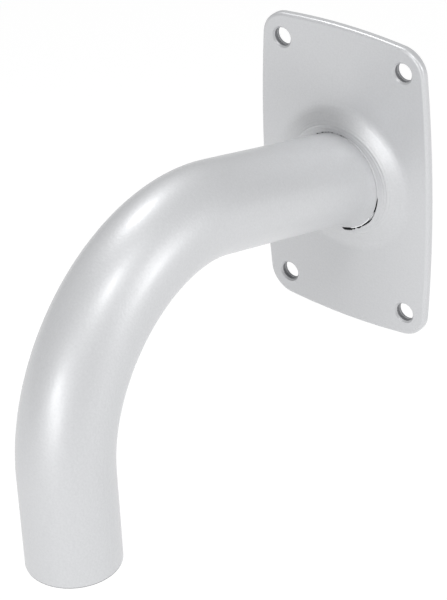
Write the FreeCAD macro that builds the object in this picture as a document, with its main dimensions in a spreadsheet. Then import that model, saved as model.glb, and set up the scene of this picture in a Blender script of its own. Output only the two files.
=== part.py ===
import FreeCAD, Part
import math
import os
import Sketcher

# Wall bracket for a camera: a lacquered steel tube rises a little out of a drawn wall plate,
# bends over and ends in a short leg that hangs plumb.
# Millimetres. X to the right, +Y into the wall, +Z up. The origin is the middle of the
# plate's back face, on the wall.

doc = FreeCAD.newDocument("camera_wall_bracket")

# Driving dimensions
dims = doc.addObject("Spreadsheet::Sheet", "dims")
dims.Label = "dims"

SIZES = [
    ("plate_width", 107.0, "widest, over the bowed sides"),
    ("plate_height", 173.0, "tallest, over the bowed ends"),
    ("plate_thickness", 4.5, "sheet the plate is pressed from"),
    ("side_bow", 3.9, "rise of each long side over its corners"),
    ("end_bow", 3.55, "rise of each short side over its corners"),
    ("corner_radius", 15.0, "plate corners"),
    ("front_edge_radius", 1.7, "round along the front edge"),
    ("back_edge_chamfer", 0.4, "broken edge along the wall"),
    ("hole_diameter", 10.3, "screw holes, for 10 mm screws"),
    ("hole_chamfer", 0.9, "broken edge on each hole's front rim"),
    ("hole_inset_side", 15.5, "from a long side, where it is widest, in to the holes"),
    ("hole_inset_end", 15.75, "from a short side, where it is widest, in to the holes"),
    ("collar_reach", 18.85, "from the tube's outside to where the collar leaves the flat face"),
    ("collar_sweep_radius", 12.0, "hollow sweep from the flat face into the collar"),
    ("collar_slope", 26.0, "slope of the drawn collar"),
    ("collar_crown", 6.85, "the flatter ring round the tube, out from the tube's outside"),
    ("collar_height", 10.3, "top of the collar above the wall, at the tube"),
    ("collar_centre_height", 0.4, "collar centre above the plate's centre"),
    ("mouth_clearance", 0.5, "mean gap between the collar mouth and the root"),
    ("mouth_drop", 0.4, "the root seats this much above the middle of the mouth"),
    ("tube_diameter", 48.3, "outside of the tube"),
    ("tube_wall", 2.6, "wall of the tube"),
    ("rise_angle", 16.4, "the straight run climbs away from the wall"),
    ("axis_height", -0.65, "tube axis where it meets the wall plane"),
    ("arm_run", 116.0, "straight run, from the wall plane to the bend"),
    ("bend_radius", 93.5, "bend, to the tube axis"),
    ("leg_length", 51.0, "plumb leg under the bend"),
    ("leg_edge_chamfer", 0.6, "broken edge outside the leg's end"),
    ("leg_bore_chamfer", 0.6, "broken edge inside the leg's end"),
    ("root_swell", 3.4, "rise of the flared root over the tube"),
    ("root_sweep_radius", 33.0, "hollow sweep of the flared root"),
    ("root_start", 19.0, "where the flare begins, along the axis from the wall plane"),
    ("root_setback", 1.2, "the tube's cut root stands back from the wall"),
    ("weld_leg", 2.4, "sloping face of the bead that joins root and plate from behind"),
    ("weld_land", 0.7, "least width of the bead's back face, over the root"),
]
for row, (alias, value, note) in enumerate(SIZES, start=1):
    dims.set("A%d" % row, alias)
    dims.set("B%d" % row, repr(value))
    dims.set("C%d" % row, note)
    dims.setAlias("B%d" % row, alias)
doc.recompute()


def size(alias):
    return float(dims.get(alias))


def rad(alias):
    return math.radians(size(alias))


def plane(body, role):
    return next(f for f in body.Origin.OriginFeatures if f.Role == role)


def new_sketch(body, name, role, offset=None):
    """a sketch on one of its body's origin planes, moved by an expression"""
    sketch = body.newObject("Sketcher::SketchObject", name)
    sketch.AttachmentSupport = [(plane(body, role), "")]
    sketch.MapMode = "FlatFace"
    if offset:
        sketch.setExpression(".AttachmentOffset", offset)
    return sketch


def offset_to(base, axis="0; 0; 1", angle="0"):
    vector = "create(<<vector>>; %s)"
    rotation = "create(<<rotation>>; %s; %s)" % (vector % axis, angle)
    return "create(<<placement>>; %s; %s)" % (vector % base, rotation)


def bind(sketch, constraint, name, expression):
    """a named constraint that follows the sheet"""
    index = sketch.addConstraint(constraint)
    sketch.renameConstraint(index, name)
    sketch.setExpression("Constraints." + name, expression)


def join_ends(sketch, ids):
    """closes a loop: the end of each edge is the start of the next"""
    for here, there in zip(ids, ids[1:] + ids[:1]):
        sketch.addConstraint(Sketcher.Constraint("Coincident", here, 2, there, 1))


def point(x, y):
    return FreeCAD.Vector(x, y, 0)


def line(a, b):
    return Part.LineSegment(point(*a), point(*b))


def edges_where(feature, test):
    """names of the feature's edges that pass a test"""
    return ["Edge%d" % i for i, edge in enumerate(feature.Shape.Edges, start=1) if test(edge)]


def is_ring(edge, radius):
    return hasattr(edge.Curve, "Radius") and abs(edge.Curve.Radius - radius) < NEAR


def add(body, kind, name, **properties):
    feature = body.newObject(kind, name)
    for key, value in properties.items():
        setattr(feature, key, value)
    return feature


ORIGIN = -1      # the sketch's own axes: -1 is horizontal, -2 is upright
UPRIGHT = -2
START, END, CENTRE = 1, 2, 3
NEAR = 1e-5      # places and radii that differ by less are the same

C = Sketcher.Constraint

# What several sketches share
COLLAR_FOOT = "(dims.tube_diameter / 2 + dims.collar_reach)"
CREASE = "(dims.tube_diameter / 2 + dims.collar_crown)"
DEPTH_AT_CREASE = ("(%s * (1 - cos(dims.collar_slope))"
                   " + (" + COLLAR_FOOT + " - %s * sin(dims.collar_slope) - " + CREASE + ")"
                   " * tan(dims.collar_slope))")
FRONT_SWEEP = "dims.collar_sweep_radius"
BACK_SWEEP = "(dims.collar_sweep_radius + dims.plate_thickness)"
RISE_TO_CREASE = DEPTH_AT_CREASE % (FRONT_SWEEP, FRONT_SWEEP)
RECESS_FLOOR = DEPTH_AT_CREASE % (BACK_SWEEP, BACK_SWEEP)


def collar_bends(sweep):
    """foot radius, crease radius, end of the sweep and depth at the crease, from the face"""
    foot = size("tube_diameter") / 2 + size("collar_reach")
    crease = size("tube_diameter") / 2 + size("collar_crown")
    slope = rad("collar_slope")
    sweep_end = (sweep * (1 - math.cos(slope)), foot - sweep * math.sin(slope))
    depth = sweep_end[0] + (sweep_end[1] - crease) * math.tan(slope)
    return foot, crease, sweep_end, depth


def bowed_outline(sketch):
    """the plate's outline before its corners are rounded: four shallow arcs"""
    half_width, half_height = size("plate_width") / 2, size("plate_height") / 2
    corner = (half_width - size("side_bow"), half_height - size("end_bow"))
    side = (corner[1] ** 2 + size("side_bow") ** 2) / (2 * size("side_bow"))
    end = (corner[0] ** 2 + size("end_bow") ** 2) / (2 * size("end_bow"))
    side_turn = math.asin(corner[1] / side)
    end_turn = math.asin(corner[0] / end)
    quarter = math.pi / 2
    arcs = [
        (half_width - side, 0, side, 0, side_turn),
        (0, half_height - end, end, quarter, end_turn),
        (side - half_width, 0, side, 2 * quarter, side_turn),
        (0, end - half_height, end, 3 * quarter, end_turn),
    ]
    normal = FreeCAD.Vector(0, 0, 1)
    for x, y, radius, middle, turn in arcs:
        circle = Part.Circle(point(x, y), normal, radius)
        sketch.addGeometry(Part.ArcOfCircle(circle, middle - turn, middle + turn), False)
    right, top, left, bottom = range(4)
    join_ends(sketch, [right, top, left, bottom])
    for upright_arc in (right, left):
        sketch.addConstraint(C("PointOnObject", upright_arc, CENTRE, ORIGIN))
    for level_arc in (top, bottom):
        sketch.addConstraint(C("PointOnObject", level_arc, CENTRE, UPRIGHT))
    sketch.addConstraint(C("Horizontal", top, START, top, END))
    sketch.addConstraint(C("Vertical", right, START, right, END))
    half_w = "(dims.plate_width / 2 - dims.side_bow)"
    half_h = "(dims.plate_height / 2 - dims.end_bow)"
    bind(sketch, C("DistanceX", ORIGIN, 1, top, START, corner[0]), "corner_across", half_w)
    bind(sketch, C("DistanceY", ORIGIN, 1, top, START, corner[1]), "corner_up", half_h)
    radius_of = "(%s ^ 2 + dims.%s ^ 2) / (2 * dims.%s)"
    for index, name, chord, bow in (
        (right, "right_radius", half_h, "side_bow"),
        (left, "left_radius", half_h, "side_bow"),
        (top, "top_radius", half_w, "end_bow"),
        (bottom, "bottom_radius", half_w, "end_bow"),
    ):
        radius = side if bow == "side_bow" else end
        bind(sketch, C("Radius", index, radius), name, radius_of % (chord, bow, bow))


def collar_face(sketch):
    """half section of the collar's front, turned about the sketch's level axis"""
    thickness, sweep, height = size("plate_thickness"), size("collar_sweep_radius"), size("collar_height")
    tube, turn = size("tube_diameter") / 2, rad("collar_slope")
    foot, crease, (rise, sweep_r), crease_rise = collar_bends(sweep)
    sweep_x, crease_x = -thickness - rise, -thickness - crease_rise
    hollow = Part.Circle(point(-thickness - sweep, foot), FreeCAD.Vector(0, 0, 1), sweep)
    sketch.addGeometry(
        [
            line((-thickness, 0), (-thickness, foot)),
            Part.ArcOfCircle(hollow, -turn, 0),
            line((sweep_x, sweep_r), (crease_x, crease)),
            line((crease_x, crease), (-height, tube)),
            line((-height, tube), (-height, 0)),
            line((-height, 0), (-thickness, 0)),
        ],
        False,
    )
    face, arc, slope, crown, land, axis = range(6)
    for a, a_end, b, b_end in (
        (face, END, arc, END),
        (arc, START, slope, START),
        (slope, END, crown, START),
        (crown, END, land, START),
        (land, END, axis, START),
        (axis, END, face, START),
    ):
        sketch.addConstraint(C("Coincident", a, a_end, b, b_end))
    sketch.addConstraint(C("Vertical", face))
    sketch.addConstraint(C("Vertical", land))
    sketch.addConstraint(C("PointOnObject", face, START, ORIGIN))
    sketch.addConstraint(C("PointOnObject", land, END, ORIGIN))
    sketch.addConstraint(C("Horizontal", arc, CENTRE, arc, END))
    bind(sketch, C("DistanceX", face, START, ORIGIN, 1, thickness), "face_out", "dims.plate_thickness")
    bind(sketch, C("DistanceY", ORIGIN, 1, face, END, foot), "foot", COLLAR_FOOT)
    bind(sketch, C("Radius", arc, sweep), "sweep", FRONT_SWEEP)
    bind(sketch, C("DistanceY", arc, START, arc, END, foot - sweep_r), "sweep_in",
         FRONT_SWEEP + " * sin(dims.collar_slope)")
    bind(sketch, C("DistanceY", ORIGIN, 1, crown, START, crease), "crease", CREASE)
    bind(sketch, C("DistanceX", crown, START, face, END, crease_rise), "crease_out", RISE_TO_CREASE)
    bind(sketch, C("DistanceX", land, START, ORIGIN, 1, height), "top_out", "dims.collar_height")
    bind(sketch, C("DistanceY", ORIGIN, 1, crown, END, tube), "top", "dims.tube_diameter / 2")


def collar_recess(sketch):
    """half section of the hollow behind the collar: the sheet keeps its thickness"""
    sweep, turn = size("collar_sweep_radius") + size("plate_thickness"), rad("collar_slope")
    foot, crease, (rise, sweep_r), depth = collar_bends(sweep)
    hollow = Part.Circle(point(-sweep, foot), FreeCAD.Vector(0, 0, 1), sweep)
    sketch.addGeometry(
        [
            line((0, 0), (0, foot)),
            Part.ArcOfCircle(hollow, -turn, 0),
            line((-rise, sweep_r), (-depth, crease)),
            line((-depth, crease), (-depth, 0)),
            line((-depth, 0), (0, 0)),
        ],
        False,
    )
    back, arc, slope, floor, axis = range(5)
    for a, a_end, b, b_end in (
        (back, END, arc, END),
        (arc, START, slope, START),
        (slope, END, floor, START),
        (floor, END, axis, START),
        (axis, END, back, START),
    ):
        sketch.addConstraint(C("Coincident", a, a_end, b, b_end))
    sketch.addConstraint(C("Vertical", back))
    sketch.addConstraint(C("Vertical", floor))
    sketch.addConstraint(C("Coincident", back, START, ORIGIN, 1))
    sketch.addConstraint(C("PointOnObject", floor, END, ORIGIN))
    sketch.addConstraint(C("Horizontal", arc, CENTRE, arc, END))
    bind(sketch, C("DistanceY", ORIGIN, 1, back, END, foot), "foot", COLLAR_FOOT)
    bind(sketch, C("Radius", arc, sweep), "sweep", BACK_SWEEP)
    bind(sketch, C("DistanceY", arc, START, arc, END, foot - sweep_r), "sweep_in",
         BACK_SWEEP + " * sin(dims.collar_slope)")
    bind(sketch, C("DistanceY", ORIGIN, 1, floor, START, crease), "crease", CREASE)
    bind(sketch, C("DistanceX", floor, START, ORIGIN, 1, depth), "floor_out", RECESS_FLOOR)


def root_envelope(sketch, gap=None):
    """half section of the solid form of the flared root, larger all round by a named gap"""
    tube = size("tube_diameter") / 2 + (size(gap) if gap else 0)
    start, swell, sweep = size("root_start"), size("root_swell"), size("root_sweep_radius")
    turn = math.acos(1 - swell / sweep)
    root_x = sweep * math.sin(turn) - start
    behind, ahead = size("tube_diameter") / 2, start + size("tube_diameter") / 2
    hollow = Part.Circle(point(-start, tube + sweep), FreeCAD.Vector(0, 0, 1), sweep)
    three_quarters = 1.5 * math.pi
    sketch.addGeometry(
        [
            line((behind, 0), (behind, tube + swell)),
            line((behind, tube + swell), (root_x, tube + swell)),
            Part.ArcOfCircle(hollow, three_quarters, three_quarters + turn),
            line((-start, tube), (-ahead, tube)),
            line((-ahead, tube), (-ahead, 0)),
            line((-ahead, 0), (behind, 0)),
        ],
        False,
    )
    back, root, arc, run, front, axis = range(6)
    for a, a_end, b, b_end in (
        (back, END, root, START),
        (root, END, arc, END),
        (arc, START, run, START),
        (run, END, front, START),
        (front, END, axis, START),
        (axis, END, back, START),
    ):
        sketch.addConstraint(C("Coincident", a, a_end, b, b_end))
    for upright_edge in (back, front):
        sketch.addConstraint(C("Vertical", upright_edge))
    for level_edge in (root, run):
        sketch.addConstraint(C("Horizontal", level_edge))
    sketch.addConstraint(C("PointOnObject", back, START, ORIGIN))
    sketch.addConstraint(C("PointOnObject", front, END, ORIGIN))
    sketch.addConstraint(C("Vertical", arc, CENTRE, arc, START))
    bind(sketch, C("DistanceX", arc, START, ORIGIN, 1, start), "start", "dims.root_start")
    bind(sketch, C("DistanceY", ORIGIN, 1, arc, START, tube), "tube",
         "dims.tube_diameter / 2" + (" + dims." + gap if gap else ""))
    bind(sketch, C("Radius", arc, sweep), "sweep", "dims.root_sweep_radius")
    bind(sketch, C("DistanceY", arc, START, arc, END, swell), "swell", "dims.root_swell")
    bind(sketch, C("DistanceX", ORIGIN, 1, back, START, behind), "behind", "dims.tube_diameter / 2")
    bind(sketch, C("DistanceX", run, END, run, START, ahead - start), "ahead", "dims.tube_diameter / 2")


def root_wall(sketch):
    """half section of the flared root's own wall"""
    tube, wall = size("tube_diameter") / 2, size("tube_wall")
    start, swell, sweep = size("root_start"), size("root_swell"), size("root_sweep_radius")
    turn = math.acos(1 - swell / sweep)
    root_x = sweep * math.sin(turn) - start
    inner_x = (sweep + wall) * math.sin(turn) - start
    inner_r = tube + sweep - (sweep + wall) * math.cos(turn)
    behind = size("tube_diameter") / 2
    centre, normal = point(-start, tube + sweep), FreeCAD.Vector(0, 0, 1)
    three_quarters = 1.5 * math.pi
    sketch.addGeometry(
        [
            line((behind, tube + swell), (root_x, tube + swell)),
            Part.ArcOfCircle(Part.Circle(centre, normal, sweep), three_quarters, three_quarters + turn),
            line((-start, tube), (-start, tube - wall)),
            Part.ArcOfCircle(
                Part.Circle(centre, normal, sweep + wall), three_quarters, three_quarters + turn
            ),
            line((inner_x, inner_r), (behind, inner_r)),
            line((behind, inner_r), (behind, tube + swell)),
        ],
        False,
    )
    outer, outer_arc, step, inner_arc, inner, back = range(6)
    for a, a_end, b, b_end in (
        (outer, END, outer_arc, END),
        (outer_arc, START, step, START),
        (step, END, inner_arc, START),
        (inner_arc, END, inner, START),
        (inner, END, back, START),
        (back, END, outer, START),
    ):
        sketch.addConstraint(C("Coincident", a, a_end, b, b_end))
    sketch.addConstraint(C("Vertical", step))
    sketch.addConstraint(C("Vertical", back))
    sketch.addConstraint(C("Horizontal", outer))
    sketch.addConstraint(C("Horizontal", inner))
    sketch.addConstraint(C("Vertical", outer_arc, CENTRE, outer_arc, START))
    sketch.addConstraint(C("Coincident", inner_arc, CENTRE, outer_arc, CENTRE))
    bind(sketch, C("DistanceX", step, START, ORIGIN, 1, start), "start", "dims.root_start")
    bind(sketch, C("DistanceY", ORIGIN, 1, step, START, tube), "tube", "dims.tube_diameter / 2")
    bind(sketch, C("DistanceY", step, END, step, START, wall), "wall", "dims.tube_wall")
    bind(sketch, C("Radius", outer_arc, sweep), "sweep", "dims.root_sweep_radius")
    bind(sketch, C("DistanceY", outer_arc, START, outer_arc, END, swell), "swell", "dims.root_swell")
    bind(sketch, C("DistanceX", ORIGIN, 1, back, END, behind), "behind", "dims.tube_diameter / 2")
    bind(sketch, C("DistanceX", inner_arc, START, inner_arc, END, inner_x + start), "inner_sweep",
         "(dims.root_sweep_radius + dims.tube_wall)"
         " * sin(acos(1 - dims.root_swell / dims.root_sweep_radius))")


def arm_path(sketch):
    """tube axis, along the rising line: straight run, bend, plumb leg"""
    start, run, bend = size("root_start"), size("arm_run"), size("bend_radius")
    leg = size("leg_length")
    quarter, rise = math.pi / 2, rad("rise_angle")
    over = 2 * quarter + rise
    bend_end = (-run + bend * math.cos(over), -bend + bend * math.sin(over))
    leg_end = (bend_end[0] + leg * math.sin(rise), bend_end[1] - leg * math.cos(rise))
    turn = Part.Circle(point(-run, -bend), FreeCAD.Vector(0, 0, 1), bend)
    sketch.addGeometry(
        [
            line((-start, 0), (-run, 0)),
            Part.ArcOfCircle(turn, quarter, over),
            line(bend_end, leg_end),
        ],
        False,
    )
    straight, arc, plumb = range(3)
    sketch.addConstraint(C("PointOnObject", straight, START, ORIGIN))
    sketch.addConstraint(C("Horizontal", straight))
    sketch.addConstraint(C("Tangent", straight, END, arc, START))
    sketch.addConstraint(C("Tangent", arc, END, plumb, START))
    bind(sketch, C("DistanceX", straight, START, ORIGIN, 1, start), "start", "dims.root_start")
    bind(sketch, C("DistanceX", straight, END, ORIGIN, 1, run), "run", "dims.arm_run")
    bind(sketch, C("Radius", arc, bend), "bend", "dims.bend_radius")
    bind(sketch, C("Distance", plumb, leg), "leg", "dims.leg_length")
    bind(sketch, C("DistanceX", plumb, START, plumb, END, leg * math.sin(rise)), "leg_lean",
         "dims.leg_length * sin(dims.rise_angle)")


def bead_cone(sketch):
    """half section of the bead's solid form: a cone that narrows away from the recess floor"""
    floor_x = -collar_bends(size("collar_sweep_radius") + size("plate_thickness"))[3]
    leg = size("weld_leg")
    root_r = (size("tube_diameter") / 2 + size("root_swell")) / math.cos(rad("rise_angle"))
    back_r = root_r + size("weld_land")
    sketch.addGeometry(
        [
            line((floor_x, 0), (floor_x, back_r + leg)),
            line((floor_x, back_r + leg), (floor_x + leg, back_r)),
            line((floor_x + leg, back_r), (floor_x + leg, 0)),
            line((floor_x + leg, 0), (floor_x, 0)),
        ],
        False,
    )
    floor, slope, back, axis = range(4)
    join_ends(sketch, [floor, slope, back, axis])
    sketch.addConstraint(C("Vertical", floor))
    sketch.addConstraint(C("Vertical", back))
    sketch.addConstraint(C("PointOnObject", floor, START, ORIGIN))
    sketch.addConstraint(C("PointOnObject", back, END, ORIGIN))
    bind(sketch, C("DistanceX", floor, START, ORIGIN, 1, -floor_x), "floor_out", RECESS_FLOOR)
    bind(sketch, C("DistanceX", slope, START, slope, END, leg), "leg_out", "dims.weld_leg")
    bind(sketch, C("DistanceY", slope, END, slope, START, leg), "leg_across", "dims.weld_leg")
    bind(sketch, C("DistanceY", axis, START, slope, END, back_r), "back",
         "(dims.tube_diameter / 2 + dims.root_swell) / cos(dims.rise_angle) + dims.weld_land")


def circle(sketch, x, y, radius):
    return sketch.addGeometry(Part.Circle(point(x, y), FreeCAD.Vector(0, 0, 1), radius), False)


# The rising line: the sketch's level axis runs down the tube axis into the wall
ALONG_TUBE = offset_to("0; dims.axis_height; 0", angle="-dims.rise_angle")
ALONG_MOUTH = offset_to("0; dims.axis_height - dims.mouth_drop; 0", angle="-dims.rise_angle")
ALONG_COLLAR = offset_to("0; dims.collar_centre_height; 0")

# Wall plate: bowed blank, rounded, with the collar drawn out of its middle
plate = doc.addObject("PartDesign::Body", "wall_plate")
plate.Label = "wall_plate"

outline = new_sketch(plate, "plate_outline", "XZ_Plane")
bowed_outline(outline)
doc.recompute()

blank = add(plate, "PartDesign::Pad", "plate_blank", Profile=outline)
blank.setExpression("Length", "dims.plate_thickness")
doc.recompute()


def runs_through(edge):
    return edge.BoundBox.YLength > size("plate_thickness") / 2


def lies_at(y):
    """picks the edges that lie in a plane parallel to the wall"""
    def test(edge):
        box = edge.BoundBox
        return box.YLength < NEAR and abs(box.YMin - y) < NEAR
    return test


corners = add(plate, "PartDesign::Fillet", "plate_corners",
              Base=(blank, edges_where(blank, runs_through)))
corners.setExpression("Radius", "dims.corner_radius")
doc.recompute()

front_edge = add(plate, "PartDesign::Fillet", "plate_front_edge",
                 Base=(corners, edges_where(corners, lies_at(-size("plate_thickness")))))
front_edge.setExpression("Radius", "dims.front_edge_radius")
doc.recompute()

back_edge = add(plate, "PartDesign::Chamfer", "plate_back_edge",
                Base=(front_edge, edges_where(front_edge, lies_at(0.0))))
back_edge.setExpression("Size", "dims.back_edge_chamfer")
doc.recompute()

collar_profile = new_sketch(plate, "collar_profile", "YZ_Plane", ALONG_COLLAR)
collar_face(collar_profile)
doc.recompute()
add(plate, "PartDesign::Revolution", "collar", Profile=collar_profile,
    ReferenceAxis=(collar_profile, ["H_Axis"]), Angle=360.0)
doc.recompute()

recess_profile = new_sketch(plate, "recess_profile", "YZ_Plane", ALONG_COLLAR)
collar_recess(recess_profile)
doc.recompute()
add(plate, "PartDesign::Groove", "collar_recess", Profile=recess_profile,
    ReferenceAxis=(recess_profile, ["H_Axis"]), Angle=360.0)
doc.recompute()

mouth_profile = new_sketch(plate, "mouth_profile", "YZ_Plane", ALONG_MOUTH)
root_envelope(mouth_profile, "mouth_clearance")
doc.recompute()
add(plate, "PartDesign::Groove", "collar_mouth", Profile=mouth_profile,
    ReferenceAxis=(mouth_profile, ["H_Axis"]), Angle=360.0)
doc.recompute()

# Screw holes, one at each corner, their front rims broken
hole_sketch = new_sketch(plate, "hole_sketch", "XZ_Plane")
across = size("plate_width") / 2 - size("hole_inset_side")
up = size("plate_height") / 2 - size("hole_inset_end")
for number, (side, level) in enumerate(((1, 1), (-1, 1), (-1, -1), (1, -1)), start=1):
    ring = circle(hole_sketch, side * across, level * up, size("hole_diameter") / 2)
    bind(hole_sketch, C("Radius", ring, size("hole_diameter") / 2), "radius_%d" % number,
         "dims.hole_diameter / 2")
    bind(hole_sketch, C("DistanceX", ORIGIN, 1, ring, CENTRE, side * across), "across_%d" % number,
         "%d * (dims.plate_width / 2 - dims.hole_inset_side)" % side)
    bind(hole_sketch, C("DistanceY", ORIGIN, 1, ring, CENTRE, level * up), "up_%d" % number,
         "%d * (dims.plate_height / 2 - dims.hole_inset_end)" % level)
doc.recompute()
holes = add(plate, "PartDesign::Pocket", "screw_holes", Profile=hole_sketch, Type="ThroughAll",
            Reversed=True)
doc.recompute()


def hole_rim(edge):
    return (is_ring(edge, size("hole_diameter") / 2)
            and lies_at(-size("plate_thickness"))(edge))


rims = add(plate, "PartDesign::Chamfer", "hole_rims", Base=(holes, edges_where(holes, hole_rim)))
rims.setExpression("Size", "dims.hole_chamfer")
doc.recompute()

# Arm tube: bent tube with a flared root that seats in the collar mouth
arm = doc.addObject("PartDesign::Body", "arm_tube")
arm.Label = "arm_tube"

path = new_sketch(arm, "arm_path", "YZ_Plane", ALONG_TUBE)
arm_path(path)
doc.recompute()

section = new_sketch(arm, "tube_section", "XZ_Plane", offset_to(
    "0; dims.axis_height + dims.root_start * sin(dims.rise_angle);"
    " dims.root_start * cos(dims.rise_angle)", "1; 0; 0", "-dims.rise_angle"))
for name, radius, expression in (
    ("outside", size("tube_diameter") / 2, "dims.tube_diameter / 2"),
    ("inside", size("tube_diameter") / 2 - size("tube_wall"), "dims.tube_diameter / 2 - dims.tube_wall"),
):
    ring = circle(section, 0, 0, radius)
    section.addConstraint(C("Coincident", ring, CENTRE, ORIGIN, 1))
    bind(section, C("Radius", ring, radius), name, expression)
doc.recompute()

add(arm, "PartDesign::AdditivePipe", "bent_tube", Profile=section,
    Spine=(path, ["Edge1", "Edge2", "Edge3"]))
doc.recompute()

root_profile = new_sketch(arm, "root_profile", "YZ_Plane", ALONG_TUBE)
root_wall(root_profile)
doc.recompute()
add(arm, "PartDesign::Revolution", "flared_root", Profile=root_profile,
    ReferenceAxis=(root_profile, ["H_Axis"]), Angle=360.0)
doc.recompute()

# The root is cut parallel to the wall
cut_line = new_sketch(arm, "root_cut_line", "XZ_Plane", offset_to("0; 0; dims.root_setback"))
reach = 2 * size("tube_diameter")
disc = circle(cut_line, 0, 0, reach)
cut_line.addConstraint(C("Coincident", disc, CENTRE, ORIGIN, 1))
bind(cut_line, C("Radius", disc, reach), "reach", "2 * dims.tube_diameter")
doc.recompute()
root_cut = add(arm, "PartDesign::Pocket", "root_cut", Profile=cut_line, Type="ThroughAll")
doc.recompute()


def leg_rim(feature, radius):
    """the level ring of this radius that lies lowest, at the leg's open end"""
    level_rings = [
        (edge.BoundBox.ZMin, "Edge%d" % i)
        for i, edge in enumerate(feature.Shape.Edges, start=1)
        if edge.BoundBox.ZLength < NEAR and is_ring(edge, radius)
    ]
    return [min(level_rings)[1]]


leg_edge = add(arm, "PartDesign::Chamfer", "leg_edge",
               Base=(root_cut, leg_rim(root_cut, size("tube_diameter") / 2)))
leg_edge.setExpression("Size", "dims.leg_edge_chamfer")
doc.recompute()
bore_radius = size("tube_diameter") / 2 - size("tube_wall")
leg_bore = add(arm, "PartDesign::Chamfer", "leg_bore",
               Base=(leg_edge, leg_rim(leg_edge, bore_radius)))
leg_bore.setExpression("Size", "dims.leg_bore_chamfer")
doc.recompute()

# Rear weld: a bead laid from behind in the corner between the root and the recess
BEAD_BACK = RECESS_FLOOR + " - dims.weld_leg"

bead = doc.addObject("PartDesign::Body", "weld_bead")
bead_profile = new_sketch(bead, "bead_profile", "YZ_Plane", offset_to(
    "0; dims.axis_height + (%s) * tan(dims.rise_angle); 0" % BEAD_BACK))
bead_cone(bead_profile)
doc.recompute()
add(bead, "PartDesign::Revolution", "bead_form", Profile=bead_profile,
    ReferenceAxis=(bead_profile, ["H_Axis"]), Angle=360.0)
doc.recompute()

core_profile = new_sketch(bead, "core_profile", "YZ_Plane", ALONG_TUBE)
root_envelope(core_profile)
doc.recompute()
add(bead, "PartDesign::Groove", "bead_ring", Profile=core_profile,
    ReferenceAxis=(core_profile, ["H_Axis"]), Angle=360.0)
doc.recompute()

# What the bead shares with the plate's metal is the plate's
weld = doc.addObject("Part::Cut", "rear_weld")
weld.Base, weld.Tool = bead, plate
weld.Label = "rear_weld"
doc.recompute()

# Check every object, then write each piece
for item in doc.Objects:
    if "Invalid" in item.State or "Error" in item.State:
        raise RuntimeError("%s did not build: %s" % (item.Name, item.State))

os.makedirs("parts", exist_ok=True)
for piece in (plate, arm, weld):
    shape = piece.Shape
    if shape.isNull() or not shape.isValid() or len(shape.Solids) != 1:
        raise RuntimeError("%s is not one sound solid" % piece.Label)
    shape.exportStep("parts/%s.step" % piece.Label)
    box = shape.optimalBoundingBox(True, False)
    print("%s: %.1f cm3, X %.2f..%.2f Y %.2f..%.2f Z %.2f..%.2f" % (
        piece.Label, shape.Volume / 1000, box.XMin, box.XMax, box.YMin, box.YMax, box.ZMin, box.ZMax))
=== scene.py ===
import bpy
import bmesh
import math
from mathutils import Matrix, Vector


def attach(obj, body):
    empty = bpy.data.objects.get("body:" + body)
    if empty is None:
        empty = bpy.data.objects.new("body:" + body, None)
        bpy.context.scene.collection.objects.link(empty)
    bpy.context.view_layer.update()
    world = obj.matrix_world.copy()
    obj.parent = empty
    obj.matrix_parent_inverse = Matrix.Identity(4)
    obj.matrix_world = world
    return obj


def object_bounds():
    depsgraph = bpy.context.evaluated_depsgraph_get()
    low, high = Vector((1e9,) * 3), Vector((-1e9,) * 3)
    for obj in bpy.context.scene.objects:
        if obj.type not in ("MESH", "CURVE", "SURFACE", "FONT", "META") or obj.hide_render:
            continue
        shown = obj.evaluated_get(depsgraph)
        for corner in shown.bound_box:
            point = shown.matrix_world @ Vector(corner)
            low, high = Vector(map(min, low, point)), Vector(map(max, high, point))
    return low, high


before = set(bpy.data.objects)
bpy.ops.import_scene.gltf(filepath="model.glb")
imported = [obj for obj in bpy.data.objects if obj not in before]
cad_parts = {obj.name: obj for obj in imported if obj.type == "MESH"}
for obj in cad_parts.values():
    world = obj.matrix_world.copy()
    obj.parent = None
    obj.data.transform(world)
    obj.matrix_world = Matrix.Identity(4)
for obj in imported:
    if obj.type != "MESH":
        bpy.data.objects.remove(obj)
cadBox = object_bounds()  # before anything is added
mm = 0.001
print("frame loaded:", ", ".join(sorted(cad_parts)))


def linear(hexColour):
    # sRGB hex to the linear numbers that the shaders take, by the sRGB curve
    channels = [int(hexColour[i:i + 2], 16) / 255 for i in (1, 3, 5)]
    return [c / 12.92 if c <= 0.04045 else ((c + 0.055) / 1.055) ** 2.4 for c in channels] + [1.0]


def addNode(tree, kind, inputs=None, links=None, **settings):
    # inputs are socket values, links are socket: (node, output)
    node = tree.nodes.new(kind)
    for name, value in settings.items():
        setattr(node, name, value)
    for name, value in (inputs or {}).items():
        node.inputs[name].default_value = value
    for name, (source, output) in (links or {}).items():
        tree.links.new(source.outputs[output], node.inputs[name])
    return node


def startMaterial(name):
    material = bpy.data.materials.new(name)
    material.use_nodes = True
    material.node_tree.nodes.clear()
    return material, material.node_tree


# Camera, where the photographer stood
photo = {
    "height": 600,         # pixels
    "azimuth": 39.82,      # degrees to the right of the plate's normal
    "elevation": 31.69,
    "roll": -2.85,
    "distance": 1.34696,   # metres from the plate's middle, along the view
    "aside": -0.0657,      # metres to the right of that line
    "above": -0.06661,     # metres above it
    "focal": 2564.58,      # pixels
    "sensor": 36.0,        # mm, the long side
    "farthest": 20.0,      # metres that the camera sees, past the floor's end
}


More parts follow.
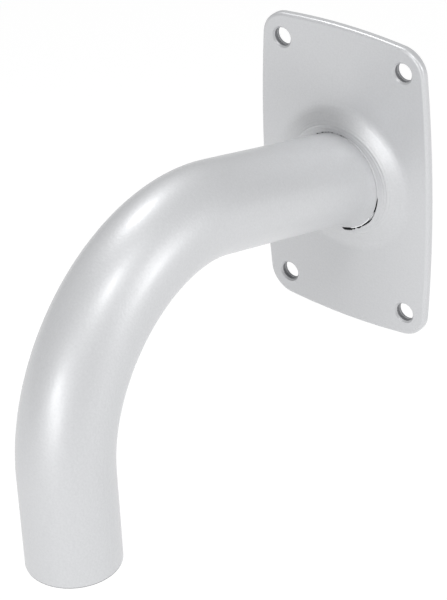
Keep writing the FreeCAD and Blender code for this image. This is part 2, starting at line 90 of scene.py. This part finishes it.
def makeCamera(p):
    az, el, roll = (math.radians(p[k]) for k in ("azimuth", "elevation", "roll"))
    back = Vector((math.sin(az) * math.cos(el), -math.cos(az) * math.cos(el), math.sin(el)))
    level = Vector((math.cos(az), math.sin(az), 0))
    steep = back.cross(level)
    right = level * math.cos(roll) + steep * math.sin(roll)
    up = steep * math.cos(roll) - level * math.sin(roll)
    data = bpy.data.cameras.new("photoCamera")
    data.sensor_width = p["sensor"]
    data.lens = p["focal"] * p["sensor"] / p["height"]
    data.clip_end = p["farthest"]
    camera = bpy.data.objects.new("photoCamera", data)
    bpy.context.scene.collection.objects.link(camera)
    turned = Matrix((right, up, back)).transposed().to_4x4()
    place = back * p["distance"] + right * p["aside"] + up * p["above"]
    camera.matrix_world = Matrix.Translation(place) @ turned
    bpy.context.scene.camera = camera


makeCamera(photo)
print("camera placed")


# Silver-grey metallic stoving lacquer on steel: fine aluminium flake in a satin binder,
# so broad lights spread into soft streaks with a faint grain
lacquer = {
    "colour": "#C4C5C7",
    "paler": "#CFD0D2",     # where more flake lies flat
    "metallic": 0.3,
    "roughness": 0.5,
    "flake": 1.1,           # mm, real flake is 0.03 and would not show
    "flakeBump": 0.05,      # mm
    "peel": 2.2,            # mm between the waves of the orange peel
    "peelBump": 0.04,       # mm
    "cloud": 40.0,          # mm across the areas that dried a little duller
    "cloudRough": 0.04,     # how far they change the roughness, either way
    "coat": 0.45,           # clear binder over the flake
    "coatRoughness": 0.25,
}

# The same lacquer on the plate, smoother over pressed sheet, with the faint rings that the press
# left round the mouth of the collar
pressed = {
    "metallic": 0.4,
    "roughness": 0.45,
    "markSpacing": 1.6,     # mm
    "markFrom": 27.5,       # mm from the middle
    "markTo": 35.0,
    "markHeight": 0.10,     # mm, higher than the real marks so that they show
}
waveTurn = 20  # radians that the wave texture turns through in one unit at scale 1


def makeMarks(tree, place, p):
    # rings from 0 to 1 round the plate's normal, fading to 0 at both sides of their band
    across = addNode(tree, "ShaderNodeVectorMath", {1: (1, 0, 1)}, {0: (place, "Object")},
                     operation="MULTIPLY")
    away = addNode(tree, "ShaderNodeVectorMath", None, {0: (across, "Vector")}, operation="LENGTH")
    rings = addNode(tree, "ShaderNodeTexWave", {"Scale": math.tau / (waveTurn * p["markSpacing"] * mm)},
                    {"Vector": (across, "Vector")}, wave_type="RINGS", rings_direction="SPHERICAL")
    inside = addNode(tree, "ShaderNodeMapRange",
                     {"From Min": p["markFrom"] * mm, "From Max": (p["markFrom"] + p["markSpacing"]) * mm},
                     {"Value": (away, "Value")}, interpolation_type="SMOOTHSTEP")
    outside = addNode(tree, "ShaderNodeMapRange",
                      {"From Min": (p["markTo"] - 2 * p["markSpacing"]) * mm, "From Max": p["markTo"] * mm,
                       "To Min": 1.0, "To Max": 0.0},
                      {"Value": (away, "Value")}, interpolation_type="SMOOTHSTEP")
    band = addNode(tree, "ShaderNodeMath", None, {0: (inside, "Result"), 1: (outside, "Result")},
                   operation="MULTIPLY")
    return addNode(tree, "ShaderNodeMath", None, {0: (rings, "Fac"), 1: (band, "Value")},
                   operation="MULTIPLY")


def makeLacquer(name, p):
    material, tree = startMaterial(name)
    place = addNode(tree, "ShaderNodeTexCoord")
    flake = addNode(tree, "ShaderNodeTexNoise", {"Scale": 1 / (p["flake"] * mm), "Detail": 1.0},
                    {"Vector": (place, "Object")})
    cloud = addNode(tree, "ShaderNodeTexNoise", {"Scale": 1 / (p["cloud"] * mm), "Detail": 2.0},
                    {"Vector": (place, "Object")})
    peel = addNode(tree, "ShaderNodeTexNoise", {"Scale": 1 / (p["peel"] * mm), "Detail": 1.0},
                   {"Vector": (place, "Object")})
    colour = addNode(tree, "ShaderNodeMix", {"A": linear(p["colour"]), "B": linear(p["paler"])},
                     {"Factor": (flake, "Fac")}, data_type="RGBA")
    rough = addNode(tree, "ShaderNodeMapRange",
                    {"To Min": p["roughness"] - p["cloudRough"], "To Max": p["roughness"] + p["cloudRough"]},
                    {"Value": (cloud, "Fac")})
    waves = addNode(tree, "ShaderNodeBump", {"Strength": 1.0, "Distance": p["peelBump"] * mm},
                    {"Height": (peel, "Fac")})
    grain = addNode(tree, "ShaderNodeBump", {"Strength": 1.0, "Distance": p["flakeBump"] * mm},
                    {"Height": (flake, "Fac"), "Normal": (waves, "Normal")})
    relief = grain
    if "markHeight" in p:
        relief = addNode(tree, "ShaderNodeBump", {"Strength": 1.0, "Distance": p["markHeight"] * mm},
                         {"Height": (makeMarks(tree, place, p), "Value"), "Normal": (grain, "Normal")})
    skin = addNode(tree, "ShaderNodeBsdfPrincipled",
                   {"Metallic": p["metallic"], "Coat Weight": p["coat"],
                    "Coat Roughness": p["coatRoughness"]},
                   {"Base Color": (colour, "Result"), "Roughness": (rough, "Result"),
                    "Normal": (relief, "Normal")})
    addNode(tree, "ShaderNodeOutputMaterial", None, {"Surface": (skin, "BSDF")})
    return material


silverLacquer = makeLacquer("silverStovingLacquer", lacquer)
pressedLacquer = makeLacquer("silverLacquerOverPressMarks", {**lacquer, **pressed})
for name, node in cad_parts.items():
    for materialSlot in node.material_slots:
        materialSlot.material = pressedLacquer if name == "wall_plate" else silverLacquer
print("lacquer on", len(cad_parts), "nodes")


# Painted shade for the open crack: near-black beads laid in the gap and over its rim, so the crack reads
# almost black
scale = {"colour": "#151517", "paler": "#232325", "metallic": 0.6, "roughness": 0.75,
         "patch": 0.6, "patchBump": 0.05}

# Lacquer stoved thick and wet along the tube's edge; its paler colour is a painted highlight, so it draws a
# bright, slightly wavy line
thick = {"colour": "#E6E7E9", "paler": "#F4F5F7", "metallic": 0.7, "roughness": 0.15,
         "patch": 2.5, "patchBump": 0.02}

# Mottled dark grey for thin rings: plain dark grey on the holes' walls, and painted shade along the leg's
# end
darkRings = {"colour": "#77787B", "paler": "#939497", "metallic": 0.3, "roughness": 0.6,
        "patch": 0.8, "patchBump": 0.03}


def makePatchy(name, p):
    # paler and raised in patches: patch is their size and patchBump their height, both in mm
    material, tree = startMaterial(name)
    place = addNode(tree, "ShaderNodeTexCoord")
    patches = addNode(tree, "ShaderNodeTexNoise", {"Scale": 1 / (p["patch"] * mm), "Detail": 3.0},
                      {"Vector": (place, "Object")})
    colour = addNode(tree, "ShaderNodeMix", {"A": linear(p["colour"]), "B": linear(p["paler"])},
                     {"Factor": (patches, "Fac")}, data_type="RGBA")
    relief = addNode(tree, "ShaderNodeBump", {"Strength": 1.0, "Distance": p["patchBump"] * mm},
                     {"Height": (patches, "Fac")})
    skin = addNode(tree, "ShaderNodeBsdfPrincipled",
                   {"Metallic": p["metallic"], "Roughness": p["roughness"]},
                   {"Base Color": (colour, "Result"), "Normal": (relief, "Normal")})
    addNode(tree, "ShaderNodeOutputMaterial", None, {"Surface": (skin, "BSDF")})
    return material


# near-black beads that are painted shade in the crack
paintedCrackShade = makePatchy("paintedCrackShadeNearBlack", scale)
# the lip's paler colour is a painted highlight
lipLacquerPaintedHighlight = makePatchy("lipLacquerWithPaintedHighlight", thick)
darkRingsMaterial = makePatchy("darkGreyAndPaintedShadeRings", darkRings)


# Lacquer that has run into the joint round the tube: it closes the crack but for the lower
# right, where it only bridges it here and there and stands in a lip along the tube. Near-black
# beads are painted shade in the open stretches and in a few specks along the top
joint = {
    "sides": 10,
    "stepAngle": 3.0,       # degrees
    "drawnIn": 0.35,        # share of its width that a run keeps at its ends
    "across": 25.6,         # mm, half the width of the joint's oval
    "high": 27.2,           # mm, half its height
    "z": 0.46,              # mm, the height of its middle
    # each run: from and to in degrees from the right towards the top, radius, mm outside the oval
    "bridge": {"y": -9.85, "runs": [(-6, 76, 0.40, 0.0), (137, 262, 0.46, 0.0), (-37, -28, 0.50, 0.15),
                                    (-56.5, -53, 0.50, 0.35), (-66, -62.5, 0.50, 0.45)]},
    "lip": {"y": -10.35, "runs": [(-72, -36, 0.42, 0.0)]},
    # scale: near-black beads, painted shade in the crack's open stretches
    "scale": {"y": -9.8, "runs": [(-27, -7, 0.36, 0.15), (-53, -40, 0.50, 0.7), (-62.5, -56.5, 0.65, 0.8),
                                  (-69, -65.5, 0.65, 0.8), (-84, -68, 0.88, 0.75)]},
    # specks: painted shade along the top of the joint
    "specks": {"y": -10.0, "runs": [(79.5, 80.5, 0.14, 0.1), (82, 84, 0.17, 0.15), (88, 89, 0.13, 0.3),
                                    (95, 97, 0.16, 0.1), (100.5, 101.5, 0.14, 0.3), (105, 106, 0.12, 0.1),
                                    (109, 112, 0.19, 0.1), (117, 120, 0.19, 0.1), (126, 127.5, 0.15, 0.1)]},
}


def spinRun(bm, start, end, radius, outside, p):
    # a round run about the Y axis, from start to end, with its ends drawn in
    first = (Matrix.Rotation(-math.radians(start), 4, "Y")
             @ Matrix.Translation(((p["across"] + outside) * mm, 0, 0)))
    loop = bmesh.ops.create_circle(bm, radius=radius * mm, segments=p["sides"], matrix=first)["verts"]
    sides = list(dict.fromkeys(edge for vert in loop for edge in vert.link_edges))
    spun = bmesh.ops.spin(bm, geom=loop + sides, axis=(0, 1, 0), cent=(0, 0, 0),
                          angle=-math.radians(end - start),
                          steps=max(2, round((end - start) / p["stepAngle"])))
    last = [vert for vert in spun["geom_last"] if isinstance(vert, bmesh.types.BMVert)]
    for finish in (loop, last):
        middle = sum((vert.co for vert in finish), Vector()) / len(finish)
        bmesh.ops.scale(bm, verts=finish, vec=(p["drawnIn"],) * 3, space=Matrix.Translation(-middle))


mergeWithin = 0.001  # mm between points that are one


def finishPiece(bm, name, material):
    # the mesh in bm becomes a smooth piece that rides on the bracket
    bmesh.ops.remove_doubles(bm, verts=bm.verts, dist=mergeWithin * mm)
    bmesh.ops.recalc_face_normals(bm, faces=bm.faces)
    for face in bm.faces:
        face.smooth = True
    mesh = bpy.data.meshes.new(name)
    bm.to_mesh(mesh)
    bm.free()
    mesh.materials.append(material)
    piece = bpy.data.objects.new(name, mesh)
    bpy.context.scene.collection.objects.link(piece)
    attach(piece, "root")


def makeRuns(name, group, material, p):
    # one group of runs, stretched to the joint's oval and closed at the ends
    bm = bmesh.new()
    for start, end, radius, outside in group["runs"]:
        spinRun(bm, start, end, radius, outside, p)
    bmesh.ops.scale(bm, verts=bm.verts, vec=(1, 1, p["high"] / p["across"]))
    bmesh.ops.translate(bm, verts=bm.verts, vec=(0, group["y"] * mm, p["z"] * mm))
    bmesh.ops.holes_fill(bm, edges=bm.edges)
    finishPiece(bm, name, material)


makeRuns("lacquerBridge", joint["bridge"], silverLacquer, joint)
makeRuns("lacquerLipWithPaintedHighlight", joint["lip"], lipLacquerPaintedHighlight, joint)
makeRuns("paintedShadeInCrack", joint["scale"], paintedCrackShade, joint)
makeRuns("paintedShadeSpecks", joint["specks"], paintedCrackShade, joint)
# scale here means the painted shade in the crack
print("lacquer and scale in the joint")


# Thin dark grey rings: two on the torn wall of each punched hole, with a lighter
# line between them, and one along the leg's sawn edge, where its darkness is painted shade
edges = {
    "segments": 48,
    "sides": 8,
    "holeAcross": 38.0,     # mm from the plate's middle to a hole's middle
    "holeUp": 70.75,        # mm
    "holeRadius": 5.15,     # mm
    "tears": [(-2.45, 1.05), (-0.65, 0.48)],  # depth, along y, and half width, both in mm
    "tearRise": 0.09,       # mm that a tear stands out of the hole's wall
    "legRadius": 24.15,     # mm
    "legInset": 0.36,       # mm from the leg's side and end to the ring's middle
    "legRing": 0.32,        # mm, the ring's radius
}


def spinRing(bm, middle, axis, radius, halfLong, halfHigh, p):
    # a ring round the axis, "Y" or "Z", of oval section: halfLong along the axis, halfHigh across it
    turned = Matrix.Rotation(math.radians(90), 4, "X") if axis == "Y" else Matrix.Identity(4)
    place = Matrix.Translation(Vector(middle) * mm) @ turned
    section = (place @ Matrix.Translation((radius * mm, 0, 0)) @ Matrix.Rotation(math.radians(90), 4, "X")
               @ Matrix.Diagonal((halfHigh, halfLong, 1, 1)))
    loop = bmesh.ops.create_circle(bm, radius=mm, segments=p["sides"], matrix=section)["verts"]
    sides = list(dict.fromkeys(edge for vert in loop for edge in vert.link_edges))
    bmesh.ops.spin(bm, geom=loop + sides, axis=place.to_3x3() @ Vector((0, 0, 1)), cent=place.translation,
                   angle=math.tau, steps=p["segments"], use_merge=True)


def makeEdges(p):
    bm = bmesh.new()
    for across in (-p["holeAcross"], p["holeAcross"]):
        for up in (-p["holeUp"], p["holeUp"]):
            for depth, halfWidth in p["tears"]:
                spinRing(bm, (across, depth, up), "Y", p["holeRadius"], halfWidth, p["tearRise"], p)
    finishPiece(bm, "tornHoleWalls", darkRingsMaterial)
    # the leg's ring is painted shade along its bottom edge
    bm = bmesh.new()
    legAxis = cadBox[0].y / mm + p["legRadius"]
    legEnd = cadBox[0].z / mm
    spinRing(bm, (0, legAxis, legEnd + p["legInset"]), "Z", p["legRadius"] - p["legInset"], p["legRing"],
             p["legRing"], p)
    finishPiece(bm, "paintedShadeAlongLegEdge", darkRingsMaterial)


makeEdges(edges)
# the leg's dark ring is painted shade
print("bare steel in the holes and along the leg's edge")


# Studio: a glowing white floor far below, a dim grey room and soft round lights
studio = {
    "floorColour": "#898989",  # pale only by its glow, so it throws little light up
    "glowColour": "#FFFFFF",
    "floorGlow": 0.85,      # lit from below, so that no shadow shows
    "floorRoughness": 0.9,
    "floorDrop": 0.55,      # metres below the leg
    "floorSize": 12.0,      # metres
    "roomColour": "#FFFFFF",
    "roomStrength": 0.35,
    "lightDistance": 1.5,   # metres from the bracket's middle
    "lightSize": 0.4,       # metres across
    "lights": [
        # name, degrees round from the front to the right, degrees up, watts
        ("key", 45, 60, 6.7),
        ("highRight", 100, 30, 2.6),
        ("right", 105, 15, 5.2),
        ("front", 0, 15, 5.2),
        ("behindLeft", 240, 60, 8.2),
        ("lowFront", 13, 3, 2.9),
    ],
}


def makeFloor(p):
    bm = bmesh.new()
    bmesh.ops.create_grid(bm, x_segments=1, y_segments=1, size=p["floorSize"] / 2)
    bmesh.ops.translate(bm, verts=bm.verts, vec=(0, 0, cadBox[0].z - p["floorDrop"]))
    mesh = bpy.data.meshes.new("floor")
    bm.to_mesh(mesh)
    bm.free()
    floor = bpy.data.objects.new("floor", mesh)
    bpy.context.scene.collection.objects.link(floor)
    material, tree = startMaterial("paleFloor")
    paint = addNode(tree, "ShaderNodeBsdfPrincipled",
                    {"Base Color": linear(p["floorColour"]), "Roughness": p["floorRoughness"],
                     "Emission Color": linear(p["glowColour"]), "Emission Strength": p["floorGlow"]})
    addNode(tree, "ShaderNodeOutputMaterial", None, {"Surface": (paint, "BSDF")})
    mesh.materials.append(material)


def makeLights(p):
    lo, hi = cadBox
    middle = (lo + hi) / 2
    for name, around, up, watts in p["lights"]:
        data = bpy.data.lights.new(name, "AREA")
        data.shape = "DISK"
        data.size = p["lightSize"]
        data.energy = watts
        lamp = bpy.data.objects.new(name, data)
        bpy.context.scene.collection.objects.link(lamp)
        az, el = math.radians(around), math.radians(up)
        away = Vector((math.sin(az) * math.cos(el), -math.cos(az) * math.cos(el), math.sin(el)))
        lamp.matrix_world = (Matrix.Translation(middle + away * p["lightDistance"])
                             @ away.to_track_quat("Z", "Y").to_matrix().to_4x4())
    world = bpy.data.worlds.new("room")
    world.use_nodes = True
    air = world.node_tree.nodes["Background"]
    air.inputs["Color"].default_value = linear(p["roomColour"])
    air.inputs["Strength"].default_value = p["roomStrength"]
    bpy.context.scene.world = world
    bpy.context.scene.view_settings.view_transform = "Standard"


makeFloor(studio)
makeLights(studio)
print("studio lit")
